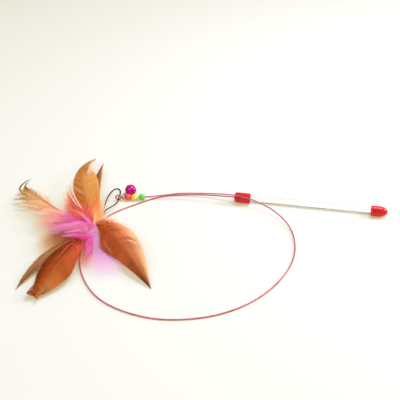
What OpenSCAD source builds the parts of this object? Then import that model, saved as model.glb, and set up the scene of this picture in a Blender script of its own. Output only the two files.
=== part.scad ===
// Cat teaser wand: a clear tube handle with two red caps, a springy coated wire that loops once,
// three beads and a jingle bell near its end, and a feather lure on an elastic loop.
// The handle lies along X. The origin is on its axis, at the middle of the rear cap's straight wall.

/* [Handle] */
// Length over both caps
handle_len = 133; // [110:1:180]
// Outer diameter of the clear tube
tube_od = 7; // [6:0.5:9]
// Wall of the clear tube
tube_wall = 0.8; // [0.6:0.1:1.2]
// Wall of the soft caps
cap_wall = 1; // [0.8:0.1:1.4]
// Length of each cap
cap_len = 14; // [13:0.5:18]
// Length of the rear cap's bullet-shaped end
cap_dome_len = 7; // [5:0.5:8]
// Radius of the outer edge of the front cap's closed end
cap_edge_r = 2.4; // [1.5:0.1:3]
// Thickness of the front cap's closed end
cap_end_wall = 1.2; // [0.8:0.1:2]

/* [Wire] */
// Diameter over the wire's coating
wire_d = 1.2; // [1:0.1:1.4]
// Mean radius of the eye bent in the wire's end
eye_r = 2.3; // [2.1:0.1:2.8]
// Outer diameter of the crimp sleeves
crimp_d = 2.2; // [2:0.1:2.4]
// Length of the crimp sleeve behind the eye
crimp_len = 1.3; // [1:0.1:1.5]
// Length of the stop sleeve inside the front cap
stop_len = 2.6; // [2:0.1:3]

/* [Beads] */
// Diameter of a bead
bead_d = 6; // [5:0.1:6]
// Length of a bead along its bore
bead_len = 5.6; // [4.6:0.1:5.7]
// Radial play of a bead on the wire
bead_play = 0.1; // [0.05:0.01:0.1]

/* [Bell] */
// Diameter of the bell's shell
bell_d = 10; // [8:0.5:11]
// Thickness of the bell's sheet metal
bell_wall = 0.4; // [0.3:0.05:0.5]
// Width of the bell's crossed slots
bell_slot_w = 0.9; // [0.6:0.1:1.2]
// Diameter of the round holes that end the slots
bell_hole_d = 1.6; // [1.2:0.1:2]
// Diameter of the loose steel ball
bell_ball_d = 2.8; // [2:0.1:3.2]
// Height of the shank above the shell
shank_rise = 2.5; // [2.3:0.1:3]
// Diameter of the shank's wire
shank_d = 0.6; // [0.5:0.05:0.7]
// Inner radius of the split ring that hangs the bell
ring_in_r = 2.5; // [2.4:0.1:2.6]
// Diameter of the split ring's wire
ring_d = 0.7; // [0.6:0.05:0.7]

/* [Lure] */
// Diameter of the elastic
elastic_d = 1; // [0.8:0.1:1.2]
// Radius of the elastic's knot
knot_r = 1.9; // [1.7:0.1:2.2]
// Radius of the bound neck of quills
neck_r = 1.4; // [1.2:0.1:1.8]
// Radius of the bound head that the quills fan out from
head_r = 3; // [2.6:0.1:3.4]
// Radius of a quill at its root
quill_r = 0.45; // [0.35:0.05:0.5]
// Thickness of a feather's vane
vane_t = 0.4; // [0.3:0.05:0.5]

/* [Feathers] */
// Length of the feather on the right
right_len = 88; // [80:1:96]
// Length of the feather at the top
top_len = 112; // [100:1:120]
// Length of the slim feather under the top one
under_len = 100; // [92:1:108]
// Length of the hooked feather on the left, without its hook
left_len = 92; // [84:1:100]
// Radius of the hook at the left feather's tip
hook_r = 4.5; // [4:0.5:6]
// Length of the lower feather in front
front_len = 86; // [78:1:92]
// Length of the lower feather behind
back_len = 86; // [78:1:92]

/* [Down] */
// Length of the pink plume over the left feather
down_left_len = 44; // [38:1:50]
// Length of the pale plume between the right and the front feather
down_right_len = 50; // [44:1:56]
// Length of the pink plume under the front feather
down_front_len = 52; // [46:1:58]
// Length of the salmon plume beside the top feather
down_top_len = 36; // [30:1:42]

/* [Hidden] */

// Clearances and overruns
seat_gap = 0.05;
cut_over = 1;
round_fn = 64;
wire_fn = 32;

// Handle: places along its axis
cap_r = tube_od / 2 + seat_gap + cap_wall;
cap_bore_r = tube_od / 2 + seat_gap;
wall_len = cap_len - cap_dome_len;
rear_tip_x = wall_len / 2 + cap_dome_len;
front_face_x = rear_tip_x - handle_len;
rear_mouth_x = -wall_len / 2;
front_mouth_x = front_face_x + cap_len;
rim_r = 0.3;
stop_face_x = front_face_x + cap_end_wall + seat_gap;
stop_end_x = stop_face_x + stop_len;
tube_front_x = stop_end_x + seat_gap;
tube_rear_x = wall_len / 2 - seat_gap;
floor_z = -cap_r;

// Wire: its straight end and its route, chosen by hand
wire_r = wire_d / 2;
end_turn = 192;
end_dir = [cos(end_turn), sin(end_turn), 0];
side_dir = [sin(end_turn), -cos(end_turn), 0];
end_straight = 2;
wire_end = [-200, -11, floor_z + bead_d / 2];
wire_route = [
    [front_face_x, 0, 0],
    [front_face_x - end_straight, 0, 0],
    [front_face_x - 2 * end_straight, 0, 0],
    [-143, 2.2, -2.1],
    [-157, 2, -3],
    [-171, 0.2, -3.6],
    [-184, -3.6, -3.9],
    [-197, -11.5, -3.95],
    [-220, -33, -3.95],
    [-230, -49, -3.95],
    [-236, -70, -3.95],
    [-235.5, -93, -3.95],
    [-226, -119, -3.95],
    [-208, -141, -3.95],
    [-184, -153, -3.95],
    [-155, -156.5, -3.95],
    [-124, -149, -3.95],
    [-99, -133.5, -3.95],
    [-80, -111, -3.95],
    [-68, -84, -3.95],
    [-65, -58, -3.8],
    [-70.5, -34, -2.7],
    [-84, -16.5, -0.5],
    [-101, -7, 1.9],
    [-115, -4.1, 3.5],
    [-130, -3, 4.1],
    [-166, -3.4, 1.2],
    [-184, -6.8, -0.6],
    wire_end - 2 * end_straight * end_dir,
    wire_end - end_straight * end_dir,
    wire_end
];

// Wire end: what sits on the straight stretch, from the last bend to the eye
bead_gap = 0.25;
lead_len = 1.2;
loose_gap = 0.8;
hang_gap = 0.3;
neck_gap = 1.2;
green_at = lead_len + bead_len / 2;
yellow_at = green_at + bead_len + loose_gap;
red_at = yellow_at + bead_len + bead_gap;
crimp_at = red_at + bead_len / 2 + bead_gap;
hang_at = crimp_at + crimp_len + hang_gap;
end_len = hang_at + neck_gap + wire_r + eye_r;
eye_pos = wire_end + end_len * end_dir;

// Bell: it hangs from the wire by its ring and rests on the floor on its seam
bell_r = bell_d / 2;
seam_out = 0.25;
seam_h = 0.35;
loop_gap = 0.45;
ring_slack = wire_r + loop_gap;
link_slack = 0.1;
leg_gap = 0.35;
ring_mid_r = ring_in_r + ring_d / 2;
shank_top_r = bell_r + shank_rise - shank_d / 2;
hang_pos = wire_end + hang_at * end_dir;
ring_off = ring_in_r - ring_slack;
ring_turn = 78;
ring_climb = 8;
ring_dir = heading(ring_turn, ring_climb);
ring_pos = hang_pos + ring_off * ring_dir;
link_pos = hang_pos + (ring_off + ring_mid_r) * ring_dir;
link_reach = shank_top_r - shank_d / 2 - link_slack - ring_d / 2;
bell_z = floor_z + bell_r + seam_out + seat_gap;
bell_turn = 52;
bell_climb = asin((bell_z - link_pos[2]) / link_reach);
bell_dir = heading(bell_turn, bell_climb);
bell_pos = link_pos + link_reach * bell_dir;
slot_reach = 52;
shank_half_w = ring_d / 2 + leg_gap + shank_d / 2;

// Elastic: its loop goes from the knot through the eye and back, chosen by hand
elastic_route = [
    [-231.2, -42, 0.3],
    [-231.2, -41, 0.3],
    [-231.2, -40, 0.3],
    [-232.4, -32, -0.5],
    [-233.8, -23, -1.7],
    [-234.4, -14, -2.7],
    [-233.8, -6, -3.5],
    [-232.2, -1.2, -3.8],
    [-229.6, 0.2, -3.8],
    [-227, -2, -3.7],
    [-225.4, -6.5, -3.4],
    [-224.8, -11.5, -2.8],
    [-224.4, -16.2, -2.5],
    [-223.8, -20.5, -2.2],
    [-224, -25, -1.7],
    [-225.6, -30.5, -1],
    [-228.4, -36.5, -0.2],
    [-229.4, -40, 0.3],
    [-229.4, -41, 0.3],
    [-229.4, -42, 0.3]
];
knot_len = 3;
root_gap = 0.35;
knot_pos = [-230.3, elastic_route[0][1], elastic_route[0][2]];
neck_pos = knot_pos - [0, knot_len + root_gap, 0];
head_pos = [-231.3, -66, 1];

// Feathers: each path is a cubic curve from the bound head, its later points as shares of the
// feather's length, and so are the widest half vanes, left and right. Camber and the rest are
// shares too, and roll is in degrees.
right_path_shares = [[0.23, -0.10, 0.10], [0.475, -0.42, 0.06], [0.71, -0.685, -0.061]];
top_path_shares = [[-0.085, 0.21, 0.10], [-0.39, 0.59, 0.09], [-0.27, 0.95, 0]];
under_path_shares = [[-0.03, 0.30, 0.04], [-0.19, 0.75, 0.02], [-0.21, 1, 0]];
left_path_shares = [[-0.39, 0.11, 0.06], [-0.64, 0.29, 0.045], [-0.88, 0.55, -0.045]];
front_path_shares = [[-0.09, -0.39, 0.10], [-0.17, -0.74, 0.04], [-0.24, -1, -0.03]];
back_path_shares = [[-0.22, -0.23, 0.01], [-0.39, -0.56, 0.01], [-0.45, -0.92, -0.0625]];
down_left_path_shares = [[-0.35, 0.02, 0.20], [-0.70, -0.05, 0.20], [-1, -0.08, 0.08]];
down_right_path_shares = [[0.17, -0.32, -0.03], [0.38, -0.66, -0.04], [0.60, -0.95, -0.05]];
down_front_path_shares = [[-0.02, -0.36, 0.01], [0, -0.71, -0.02], [0.12, -1, -0.04]];
down_top_path_shares = [[-0.30, 0.25, 0.30], [-0.60, 0.50, 0.34], [-0.75, 0.85, 0.28]];
right_width_shares = [0.17, 0.13];
top_width_shares = [0.103, 0.126];
under_width_shares = [0.04, 0.03];
left_width_shares = [0.207, 0.098];
front_width_shares = [0.18, 0.151];
back_width_shares = [0.081, 0.058];
down_left_width_shares = [0.295, 0.295];
down_right_width_shares = [0.18, 0.18];
down_front_width_shares = [0.115, 0.115];
down_top_width_shares = [0.222, 0.222];
hook_rise_share = 0.05;
vane_steps = 22;
down_steps = 26;
quill_tip_share = 0.3;
edge_t_share = 0.6;
section_share = 0.5;

// Plain vector helpers
function unit(v) = v / norm(v);
function heading(turn, climb) = [cos(climb) * cos(turn), cos(climb) * sin(turn), sin(climb)];
function curve_point(p, t) =
    p[0] * pow(1 - t, 3) + 3 * p[1] * t * pow(1 - t, 2) + 3 * p[2] * t * t * (1 - t) + p[3] * pow(t, 3);
function curve_slope(p, t) =
    unit((p[1] - p[0]) * pow(1 - t, 2) + 2 * (p[2] - p[1]) * t * (1 - t) + (p[3] - p[2]) * t * t);

// A smooth curve through route points, two points a step where steps is 2
function spline_point(a, b, c, d, t) =
    0.5 * (2 * b + (c - a) * t + (2 * a - 5 * b + 4 * c - d) * t * t + (3 * b - a - 3 * c + d) * pow(t, 3));
function spline(route, steps) = [
    for (i = [0:len(route) - 2], k = [0:steps - 1])
        spline_point(
            i == 0 ? 2 * route[0] - route[1] : route[i - 1],
            route[i],
            route[i + 1],
            i == len(route) - 2 ? 2 * route[i + 1] - route[i] : route[i + 2],
            k / steps
        ),
    route[len(route) - 1]
];

// A closed skin over rings of equal length, with a fan at each end
module skin(rings) {
    count = len(rings);
    sides = len(rings[0]);
    points = [for (ring = rings, p = ring) p];
    walls = [
        for (i = [0:count - 2], k = [0:sides - 1])
            let (a = i * sides + k, b = i * sides + (k + 1) % sides)
                each [[a, b, b + sides], [a, b + sides, a + sides]]
    ];
    first_end = [for (k = [1:sides - 2]) [0, k + 1, k]];
    last = (count - 1) * sides;
    last_end = [for (k = [1:sides - 2]) [last, last + k, last + k + 1]];
    polyhedron(points, concat(walls, first_end, last_end), convexity = 8);
}

// A round cord along a route
module cord(route, radius, steps, sides = 8) {
    pts = spline(route, steps);
    last = len(pts) - 1;
    skin([
        for (i = [0:last])
            let (
                ahead = unit(pts[min(i + 1, last)] - pts[max(i - 1, 0)]),
                side = unit(cross(ahead, [0, 0, 1])),
                up = cross(side, ahead)
            )
                [for (k = [0:sides - 1]) let (a = -360 * k / sides)
                    pts[i] + radius * (cos(a) * side + sin(a) * up)]
    ]);
}

// Turns a shape modelled along +Z so that it points from one place along a direction
module aimed(place, direction) {
    d = unit(direction);
    translate(place) rotate([0, acos(d[2]), atan2(d[1], d[0])]) children();
}

module ring_shape(mid_r, tube_r) {
    rotate_extrude($fn = round_fn) translate([mid_r, 0]) circle(r = tube_r, $fn = wire_fn);
}

// Outline of a cap's bullet end, as a quarter ellipse from the wall to the tip
function bullet(radius, length, from_z, steps = 14) =
    [for (i = [0:steps]) let (a = 90 * i / steps) [radius * cos(a), from_z + length * sin(a)]];

// A quarter circle of an outline, about a centre
function corner(centre, radius, from_a, to_a, steps = 6) =
    [for (i = [0:steps]) let (a = from_a + (to_a - from_a) * i / steps)
        centre + radius * [cos(a), sin(a)]];

module handle_tube() {
    color([0.93, 0.93, 0.9, 0.4])
        translate([tube_front_x, 0, 0]) rotate([0, 90, 0])
            difference() {
                cylinder(r = tube_od / 2, h = tube_rear_x - tube_front_x, $fn = round_fn);
                translate([0, 0, -cut_over])
                    cylinder(
                        r = tube_od / 2 - tube_wall,
                        h = tube_rear_x - tube_front_x + 2 * cut_over,
                        $fn = round_fn
                    );
            }
}

module front_cap() {
    color([0.86, 0.07, 0.06])
        translate([front_mouth_x, 0, 0]) rotate([0, -90, 0])
            difference() {
                rotate_extrude($fn = round_fn)
                    polygon(concat(
                        [[0, 0]],
                        corner([cap_r - rim_r, rim_r], rim_r, -90, 0, 3),
                        corner([cap_r - cap_edge_r, cap_len - cap_edge_r], cap_edge_r, 0, 90, 8),
                        [[0, cap_len]]
                    ));
                translate([0, 0, -cut_over])
                    cylinder(r = cap_bore_r, h = cap_len - cap_end_wall + cut_over, $fn = round_fn);
                cylinder(r = wire_r + seat_gap, h = cap_len + cut_over, $fn = wire_fn);
            }
}

module rear_cap() {
    color([0.86, 0.07, 0.06])
        translate([rear_mouth_x, 0, 0]) rotate([0, 90, 0])
            difference() {
                rotate_extrude($fn = round_fn)
                    polygon(concat(
                        [[0, 0]],
                        corner([cap_r - rim_r, rim_r], rim_r, -90, 0, 3),
                        bullet(cap_r, cap_dome_len, wall_len)
                    ));
                translate([0, 0, -cut_over])
                    cylinder(r = cap_bore_r, h = wall_len + cut_over, $fn = round_fn);
                rotate_extrude($fn = round_fn)
                    polygon(concat([[0, wall_len]], bullet(cap_bore_r, cap_dome_len - cap_wall, wall_len)));
            }
}

// The wire's inner end, held behind the cap's closed end by a crimped sleeve
module wire_anchor() {
    color([0.72, 0.70, 0.66])
        translate([front_face_x, 0, 0]) rotate([0, 90, 0]) {
            cylinder(r = wire_r, h = stop_end_x - front_face_x, $fn = wire_fn);
            translate([0, 0, stop_face_x - front_face_x])
                cylinder(r = crimp_d / 2 + wire_r, h = stop_len, $fn = wire_fn);
        }
}

module wire() {
    color([0.86, 0.42, 0.52]) cord(wire_route, wire_r, 2);
}

// The wire's straight end, which the beads turn on, and the eye bent in it
module end_eye() {
    color([0.86, 0.42, 0.52]) {
        aimed(wire_end, end_dir) cylinder(r = wire_r, h = end_len - eye_r, $fn = wire_fn);
        aimed(eye_pos, side_dir) ring_shape(eye_r, wire_r);
    }
}

module eye_crimp() {
    color([0.78, 0.66, 0.5])
        aimed(wire_end + crimp_at * end_dir, end_dir)
            difference() {
                cylinder(r = crimp_d / 2, h = crimp_len, $fn = wire_fn);
                translate([0, 0, -cut_over])
                    cylinder(r = wire_r + seat_gap / 2, h = crimp_len + 2 * cut_over, $fn = wire_fn);
            }
}

module bead(at, tint) {
    color(tint)
        aimed(wire_end + at * end_dir, end_dir)
            difference() {
                intersection() {
                    sphere(r = bead_d / 2, $fn = round_fn);
                    cube([bead_d + cut_over, bead_d + cut_over, bead_len], center = true);
                }
                cylinder(r = wire_r + bead_play, h = bead_len + 2 * cut_over, center = true, $fn = wire_fn);
            }
}

module bead_green() { bead(green_at, [0.25, 0.75, 0.28]); }
module bead_yellow() { bead(yellow_at, [0.97, 0.85, 0.25]); }
module bead_red() { bead(red_at, [0.93, 0.18, 0.14]); }

// A shell half with its rolled seam, its pole along +Z
module bell_half() {
    difference() {
        union() {
            intersection() {
                sphere(r = bell_r, $fn = round_fn);
                translate([-bell_r, -bell_r, 0]) cube([bell_d, bell_d, bell_r]);
            }
            cylinder(r = bell_r + seam_out, h = seam_h, $fn = round_fn);
        }
        sphere(r = bell_r - bell_wall, $fn = round_fn);
    }
}

module bell_top() {
    color([0.62, 0.05, 0.52])
        aimed(bell_pos, -bell_dir)
            difference() {
                bell_half();
                for (s = [-1, 1])
                    translate([0, s * shank_half_w, bell_r / 2])
                        cylinder(r = shank_d / 2 + seat_gap, h = bell_r, $fn = wire_fn);
            }
}

module bell_bottom() {
    hole_depth = bell_r / 2;
    color([0.62, 0.05, 0.52])
        aimed(bell_pos, bell_dir)
            difference() {
                bell_half();
                for (turn = [0, 90]) rotate([0, 0, turn]) {
                    translate([-bell_r * sin(slot_reach), -bell_slot_w / 2, bell_r * cos(slot_reach)])
                        cube([2 * bell_r * sin(slot_reach), bell_slot_w, bell_r]);
                    for (s = [-1, 1])
                        rotate([0, s * slot_reach, 0]) translate([0, 0, hole_depth])
                            cylinder(d = bell_hole_d, h = bell_r, $fn = wire_fn);
                }
            }
}

// A staple whose legs go through the shell's top half
module bell_shank() {
    leg_z = bell_r - bell_wall - shank_d;
    arc_z = shank_top_r - shank_half_w;
    color([0.7, 0.25, 0.6])
        aimed(bell_pos, -bell_dir) {
            for (s = [-1, 1])
                translate([0, s * shank_half_w, leg_z])
                    cylinder(r = shank_d / 2, h = arc_z - leg_z, $fn = wire_fn);
            translate([0, 0, arc_z]) rotate([0, -90, 0])
                rotate_extrude(angle = 180, start = -90, $fn = round_fn)
                    translate([shank_half_w, 0]) circle(r = shank_d / 2, $fn = wire_fn);
        }
}

// The ball lies at the bottom of the shell
module bell_ball() {
    drop = bell_r - bell_wall - bell_ball_d / 2 - 2 * seat_gap;
    color([0.7, 0.7, 0.72])
        translate(bell_pos - [0, 0, drop]) sphere(d = bell_ball_d, $fn = round_fn);
}

// The ring stands upright, in line with the bell
module bell_ring() {
    color([0.78, 0.45, 0.68])
        translate(ring_pos) rotate([90, 0, ring_turn]) ring_shape(ring_mid_r, ring_d / 2);
}

module elastic_loop() {
    color([0.08, 0.07, 0.06]) cord(elastic_route, elastic_d / 2, 1);
}

// Two turns of the elastic pulled tight, with both ends of the loop in its flat face
module elastic_knot() {
    turn_r = knot_len / 4;
    color([0.08, 0.07, 0.06])
        aimed(knot_pos, [0, -1, 0])
            rotate_extrude($fn = round_fn)
                polygon(concat(
                    [[0, 0]],
                    corner([knot_r - turn_r, turn_r], turn_r, -90, 60, 8),
                    corner([knot_r - turn_r, knot_len - turn_r], turn_r, -60, 90, 8),
                    [[0, knot_len]]
                ));
}

// Thread wound over the quills, as a neck that swells into a round head
module binding() {
    shaft_len = norm(head_pos - neck_pos);
    head_from = acos(neck_r / head_r);
    color([0.45, 0.24, 0.13])
        aimed(neck_pos, head_pos - neck_pos)
            rotate_extrude($fn = round_fn)
                polygon(concat(
                    [[0, 0], [neck_r, 0]],
                    corner([0, shaft_len], head_r, -head_from, 90, 14)
                ));
}

// Half width of a vane along the shaft, as a share of its widest
function width_share(t, bare, peak, rise, fall) =
    let (s = (t - bare) / (1 - bare))
        s <= 0 || s >= 1 ? 0 :
        s < peak ? pow(sin(90 * s / peak), rise) : pow(cos(90 * (s - peak) / (1 - peak)), fall);

// Place and direction on the shaft. Past hook_at it turns on an arc and climbs.
function shaft_place(path, t, hook_at, turn, rise) =
    t <= hook_at ? curve_point(path, t / hook_at) :
    let (
        k = (t - hook_at) / (1 - hook_at),
        d = curve_slope(path, 1),
        from = atan2(d[1], d[0]),
        s = sign(turn),
        to = from + turn * k
    )
        path[3] + [s * hook_r * (sin(to) - sin(from)), s * hook_r * (cos(from) - cos(to)), rise * k * k];
function shaft_slope(path, t, hook_at, turn, rise) =
    t <= hook_at ? curve_slope(path, t / hook_at) :
    let (
        k = (t - hook_at) / (1 - hook_at),
        d = curve_slope(path, 1),
        to = atan2(d[1], d[0]) + turn * k
    )
        unit([cos(to), sin(to), 2 * rise * k / (hook_r * abs(turn) * PI / 180)]);

// One feather: a thin cambered vane with a ridge where its shaft runs, and a bare quill.
// notch is how deep the locks of barbs are split, and sweep how far they lean towards the tip.
module feather(
    length, path_shares, root_turn, root_climb, width_shares,
    bare, peak, rise, fall, sweep, notch, roll_from, roll_to, camber,
    steps = vane_steps, hook_at = 1, hook_turn = 1, hook_rise = 0
) {
    left_w = length * width_shares[0];
    right_w = length * width_shares[1];
    root = (head_r + root_gap) * heading(root_turn, root_climb);
    path = [for (p = concat([root], length * path_shares)) head_pos + p];
    skin([
        for (i = [0:steps])
            let (
                t = i / steps,
                share = width_share(t, bare, peak, rise, fall),
                shaft_r = quill_r * (1 - (1 - quill_tip_share) * t),
                left = max(share * left_w, shaft_r),
                right = max(share * right_w, shaft_r),
                cut = 1 - notch * share * (i % 2),
                rows = [-1, -section_share, 0, section_share, 1]
            )
                [
                    for (face = [1, -1], v = face > 0 ? rows : [for (k = [4:-1:0]) rows[k]])
                        let (
                            reach = abs(v) == 1 ? cut : 1,
                            half = (v < 0 ? left : right) * reach,
                            at = min(1, t + sweep * abs(v) * reach * share * (1 - t)),
                            ahead = shaft_slope(path, at, hook_at, hook_turn, hook_rise),
                            flat_side = unit(cross(ahead, [0, 0, 1])),
                            flat_up = cross(flat_side, ahead),
                            roll = roll_from + (roll_to - roll_from) * at,
                            side = cos(roll) * flat_side + sin(roll) * flat_up,
                            up = cos(roll) * flat_up - sin(roll) * flat_side,
                            thick = v == 0 ? shaft_r : abs(v) == 1 ?
                                min(vane_t / 2, shaft_r) * edge_t_share : min(vane_t / 2, shaft_r)
                        )
                            shaft_place(path, at, hook_at, hook_turn, hook_rise)
                                + side * v * half - up * camber * half * v * v + up * face * thick
                ]
    ]);
}

module feather_right() {
    color([0.69, 0.33, 0.14])
        feather(right_len, right_path_shares, 15, 58, right_width_shares,
            bare = 0.015, peak = 0.32, rise = 0.32, fall = 1.05, sweep = 0.1, notch = 0.08,
            roll_from = -15, roll_to = -5, camber = 0.16);
}

module feather_top() {
    color([0.8, 0.58, 0.28])
        feather(top_len, top_path_shares, 132, 44, top_width_shares,
            bare = 0.02, peak = 0.42, rise = 0.6, fall = 1, sweep = 0.14, notch = 0.14,
            roll_from = 5, roll_to = 10, camber = 0.2);
}

module feather_under() {
    color([0.42, 0.26, 0.14])
        feather(under_len, under_path_shares, 88, 58, under_width_shares,
            bare = 0.12, peak = 0.4, rise = 0.8, fall = 1, sweep = 0.12, notch = 0.08,
            roll_from = 0, roll_to = 0, camber = 0.2);
}

module feather_left() {
    color([0.78, 0.62, 0.4])
        feather(left_len, left_path_shares, 155, 12, left_width_shares,
            bare = 0.05, peak = 0.5, rise = 0.8, fall = 0.9, sweep = 0.2, notch = 0.3,
            roll_from = -5, roll_to = 0, camber = 0.12,
            hook_at = 0.88, hook_turn = -130, hook_rise = left_len * hook_rise_share);
}

module feather_front() {
    color([0.6, 0.27, 0.1])
        feather(front_len, front_path_shares, -106, 24, front_width_shares,
            bare = 0.05, peak = 0.42, rise = 0.7, fall = 0.7, sweep = 0.14, notch = 0.12,
            roll_from = 0, roll_to = 0, camber = 0.22);
}

module feather_back() {
    color([0.62, 0.44, 0.26])
        feather(back_len, back_path_shares, -134, -8, back_width_shares,
            bare = 0.2, peak = 0.45, rise = 0.8, fall = 1.1, sweep = 0.12, notch = 0.1,
            roll_from = 0, roll_to = 0, camber = 0.15);
}

// Pink down plumes, whose barbs stand apart
module down(length, path_shares, root_turn, root_climb, width_shares, tint) {
    color(tint)
        feather(length, path_shares, root_turn, root_climb, width_shares,
            bare = 0.06, peak = 0.4, rise = 0.5, fall = 0.6, sweep = 0.3, notch = 0.7,
            roll_from = 0, roll_to = 0, camber = 0.1, steps = down_steps);
}

module down_left() {
    down(down_left_len, down_left_path_shares, 178, 42, down_left_width_shares, [0.95, 0.42, 0.68]);
}

module down_right() {
    down(down_right_len, down_right_path_shares, -60, -22, down_right_width_shares, [0.95, 0.72, 0.9]);
}

module down_front() {
    down(down_front_len, down_front_path_shares, -92, -16, down_front_width_shares, [0.95, 0.5, 0.68]);
}

module down_top() {
    down(down_top_len, down_top_path_shares, 165, 66, down_top_width_shares, [0.95, 0.6, 0.55]);
}

handle_tube();
front_cap();
rear_cap();
wire_anchor();
wire();
end_eye();
eye_crimp();
bead_green();
bead_yellow();
bead_red();
bell_top();
bell_bottom();
bell_shank();
bell_ball();
bell_ring();
elastic_loop();
elastic_knot();
binding();
feather_right();
feather_top();
feather_under();
feather_left();
feather_front();
feather_back();
down_left();
down_right();
down_front();
down_top();
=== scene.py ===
"""A cat teaser wand on a pale table: clear handle with red caps, pink coated wire, beads, a jingle
bell, and a feather lure on a black elastic loop. Sizes are in millimetres, and MM turns them into
metres. The frame is the CAD model's: +X along the handle, out of the rear cap, +Z up."""
import math
import random

import bpy
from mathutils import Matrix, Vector


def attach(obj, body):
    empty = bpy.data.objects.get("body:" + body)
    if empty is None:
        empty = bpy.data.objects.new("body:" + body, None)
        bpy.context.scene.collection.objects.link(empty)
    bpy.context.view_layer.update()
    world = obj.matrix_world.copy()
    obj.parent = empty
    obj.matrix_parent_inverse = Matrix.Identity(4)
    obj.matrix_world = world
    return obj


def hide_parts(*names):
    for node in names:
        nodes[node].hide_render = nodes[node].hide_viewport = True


MM = 0.001
UP = Vector((0, 0, 1))
STEEP = 0.95

# Camera: 64 mm lens on a 36 mm sensor, 35 degrees above the table
CAMERA_AT = (-63.284, -515.863, 359.721)
CAMERA_LOOKS_AT = (-152.95, -3.49, -4.5)
LENS = 64.0
SENSOR = 36.0
CLIP_START = 0.01

# Light
LAMPS_AIM_AT = (-160, -60, 0)
SKY_LIGHT = 0.46

# Table, and how far barbs and strands stay above it
FLOOR_Z = -4.55
FLOOR_DROP = 0.02
FLOOR_SIZE = 6000.0
FLOOR_MATTE = (0.92, 0.91, 0.88, 1)
FLOOR_SHADED = (0.50, 0.58, 0.70, 1)
FLOOR_GLOW = (0.36, 0.26, 0.06, 1)
STRANDS_ABOVE = 0.15
BARBS_ABOVE = 0.1

# Cords: routes as in the CAD model
WIRE_D = 1.2
ELASTIC_D = 1.0
CORD_STEPS = 12
FRONT_FACE_X = -122.5
END_STRAIGHT = 2.0
END_TURN = math.radians(192)
END_DIR = Vector((math.cos(END_TURN), math.sin(END_TURN), 0))
WIRE_END = Vector((-200, -11, -1.55))
WIRE_ROUTE = [
    (FRONT_FACE_X, 0, 0), (FRONT_FACE_X - END_STRAIGHT, 0, 0), (FRONT_FACE_X - 2 * END_STRAIGHT, 0, 0),
    (-143, 2.2, -2.1), (-157, 2, -3), (-171, 0.2, -3.6), (-184, -3.6, -3.9), (-197, -11.5, -3.95),
    (-220, -33, -3.95), (-230, -49, -3.95), (-236, -70, -3.95), (-235.5, -93, -3.95), (-226, -119, -3.95),
    (-208, -141, -3.95), (-184, -153, -3.95), (-155, -156.5, -3.95), (-124, -149, -3.95),
    (-99, -133.5, -3.95), (-80, -111, -3.95), (-68, -84, -3.95), (-65, -58, -3.8), (-70.5, -34, -2.7),
    (-84, -16.5, -0.5), (-101, -7, 1.9), (-115, -4.1, 3.5), (-130, -3, 4.1), (-166, -3.4, 1.2),
    (-184, -6.8, -0.6), tuple(WIRE_END - 2 * END_STRAIGHT * END_DIR),
    tuple(WIRE_END - END_STRAIGHT * END_DIR), tuple(WIRE_END),
]
ELASTIC_ROUTE = [
    (-231.2, -42, 0.3), (-231.2, -41, 0.3), (-231.2, -40, 0.3), (-232.4, -32, -0.5), (-233.8, -23, -1.7),
    (-234.4, -14, -2.7), (-233.8, -6, -3.5), (-232.2, -1.2, -3.8), (-229.6, 0.2, -3.8), (-227, -2, -3.7),
    (-225.4, -6.5, -3.4), (-224.8, -11.5, -2.8), (-224.4, -16.2, -2.5), (-223.8, -20.5, -2.2),
    (-224, -25, -1.7), (-225.6, -30.5, -1), (-228.4, -36.5, -0.2), (-229.4, -40, 0.3), (-229.4, -41, 0.3),
    (-229.4, -42, 0.3),
]

# Handle: the tube's outside
TUBE_R = 3.5

# Knot and binding
KNOT_AT = Vector((-230.3, -42, 0.3))
KNOT_LEN = 3.0
KNOT_R = 1.6
NECK_AT = Vector((-230.3, -45.35, 0.3))
NECK_R = 1.4
HEAD = Vector((-231.3, -66, 1))
HEAD_R = 3.0
THREAD_D = 0.36
CORD_LAY_D = 0.95
CORD_LAY_PITCH = 0.78
STEPS_A_TURN = 20
THREAD_SIDES = 6
CORE_RINGS = 24
CORE_SIDES = 20

# Feathers
ROOT_GAP = 0.35
QUILL_R = 0.34
QUILL_TIP_SHARE = 0.3
HOOK_R = 4.5
SHAFT_STEPS = 240
BARB_SPACING = 0.3
BARB_POINTS = 9
OVERLAP = 0.8
GROUND_LIFT = -0.1
GROUND_TONE = 0.4
QUILL_STEPS = 70
QUILL_SIDES = 8
STRAY_D = 0.28
RUFF_D = 0.5
RUFF_STEPS = 8
WISP_STEPS = 4
STRAND_POINTS = 8
COVER_R = 3.15


def rgb(*values):
    """An sRGB colour of 0 to 255, as linear RGBA."""
    return (*(v / 3294.6 if v <= 10 else ((v / 255 + 0.055) / 1.055) ** 2.4 for v in values), 1.0)


def add_object(name, data):
    obj = bpy.data.objects.new(name, data)
    bpy.context.scene.collection.objects.link(obj)
    return obj


def aim(obj, at, towards):
    obj.location = Vector(at) * MM
    obj.rotation_euler = (Vector(towards) - Vector(at)).to_track_quat("-Z", "Y").to_euler()


# Camera, light and table


def make_camera():
    data = bpy.data.cameras.new("camera")
    data.lens = LENS
    data.sensor_width = SENSOR
    data.clip_start = CLIP_START
    camera = add_object("camera", data)
    aim(camera, CAMERA_AT, CAMERA_LOOKS_AT)
    bpy.context.scene.camera = camera
    bpy.context.scene.view_settings.view_transform = "Standard"


def add_lamp(name, at, size, power, colour):
    data = bpy.data.lights.new(name, "AREA")
    data.shape = "DISK"
    data.size = size * MM
    data.energy = power
    data.color = colour
    aim(add_object(name, data), at, LAMPS_AIM_AT)


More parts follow.
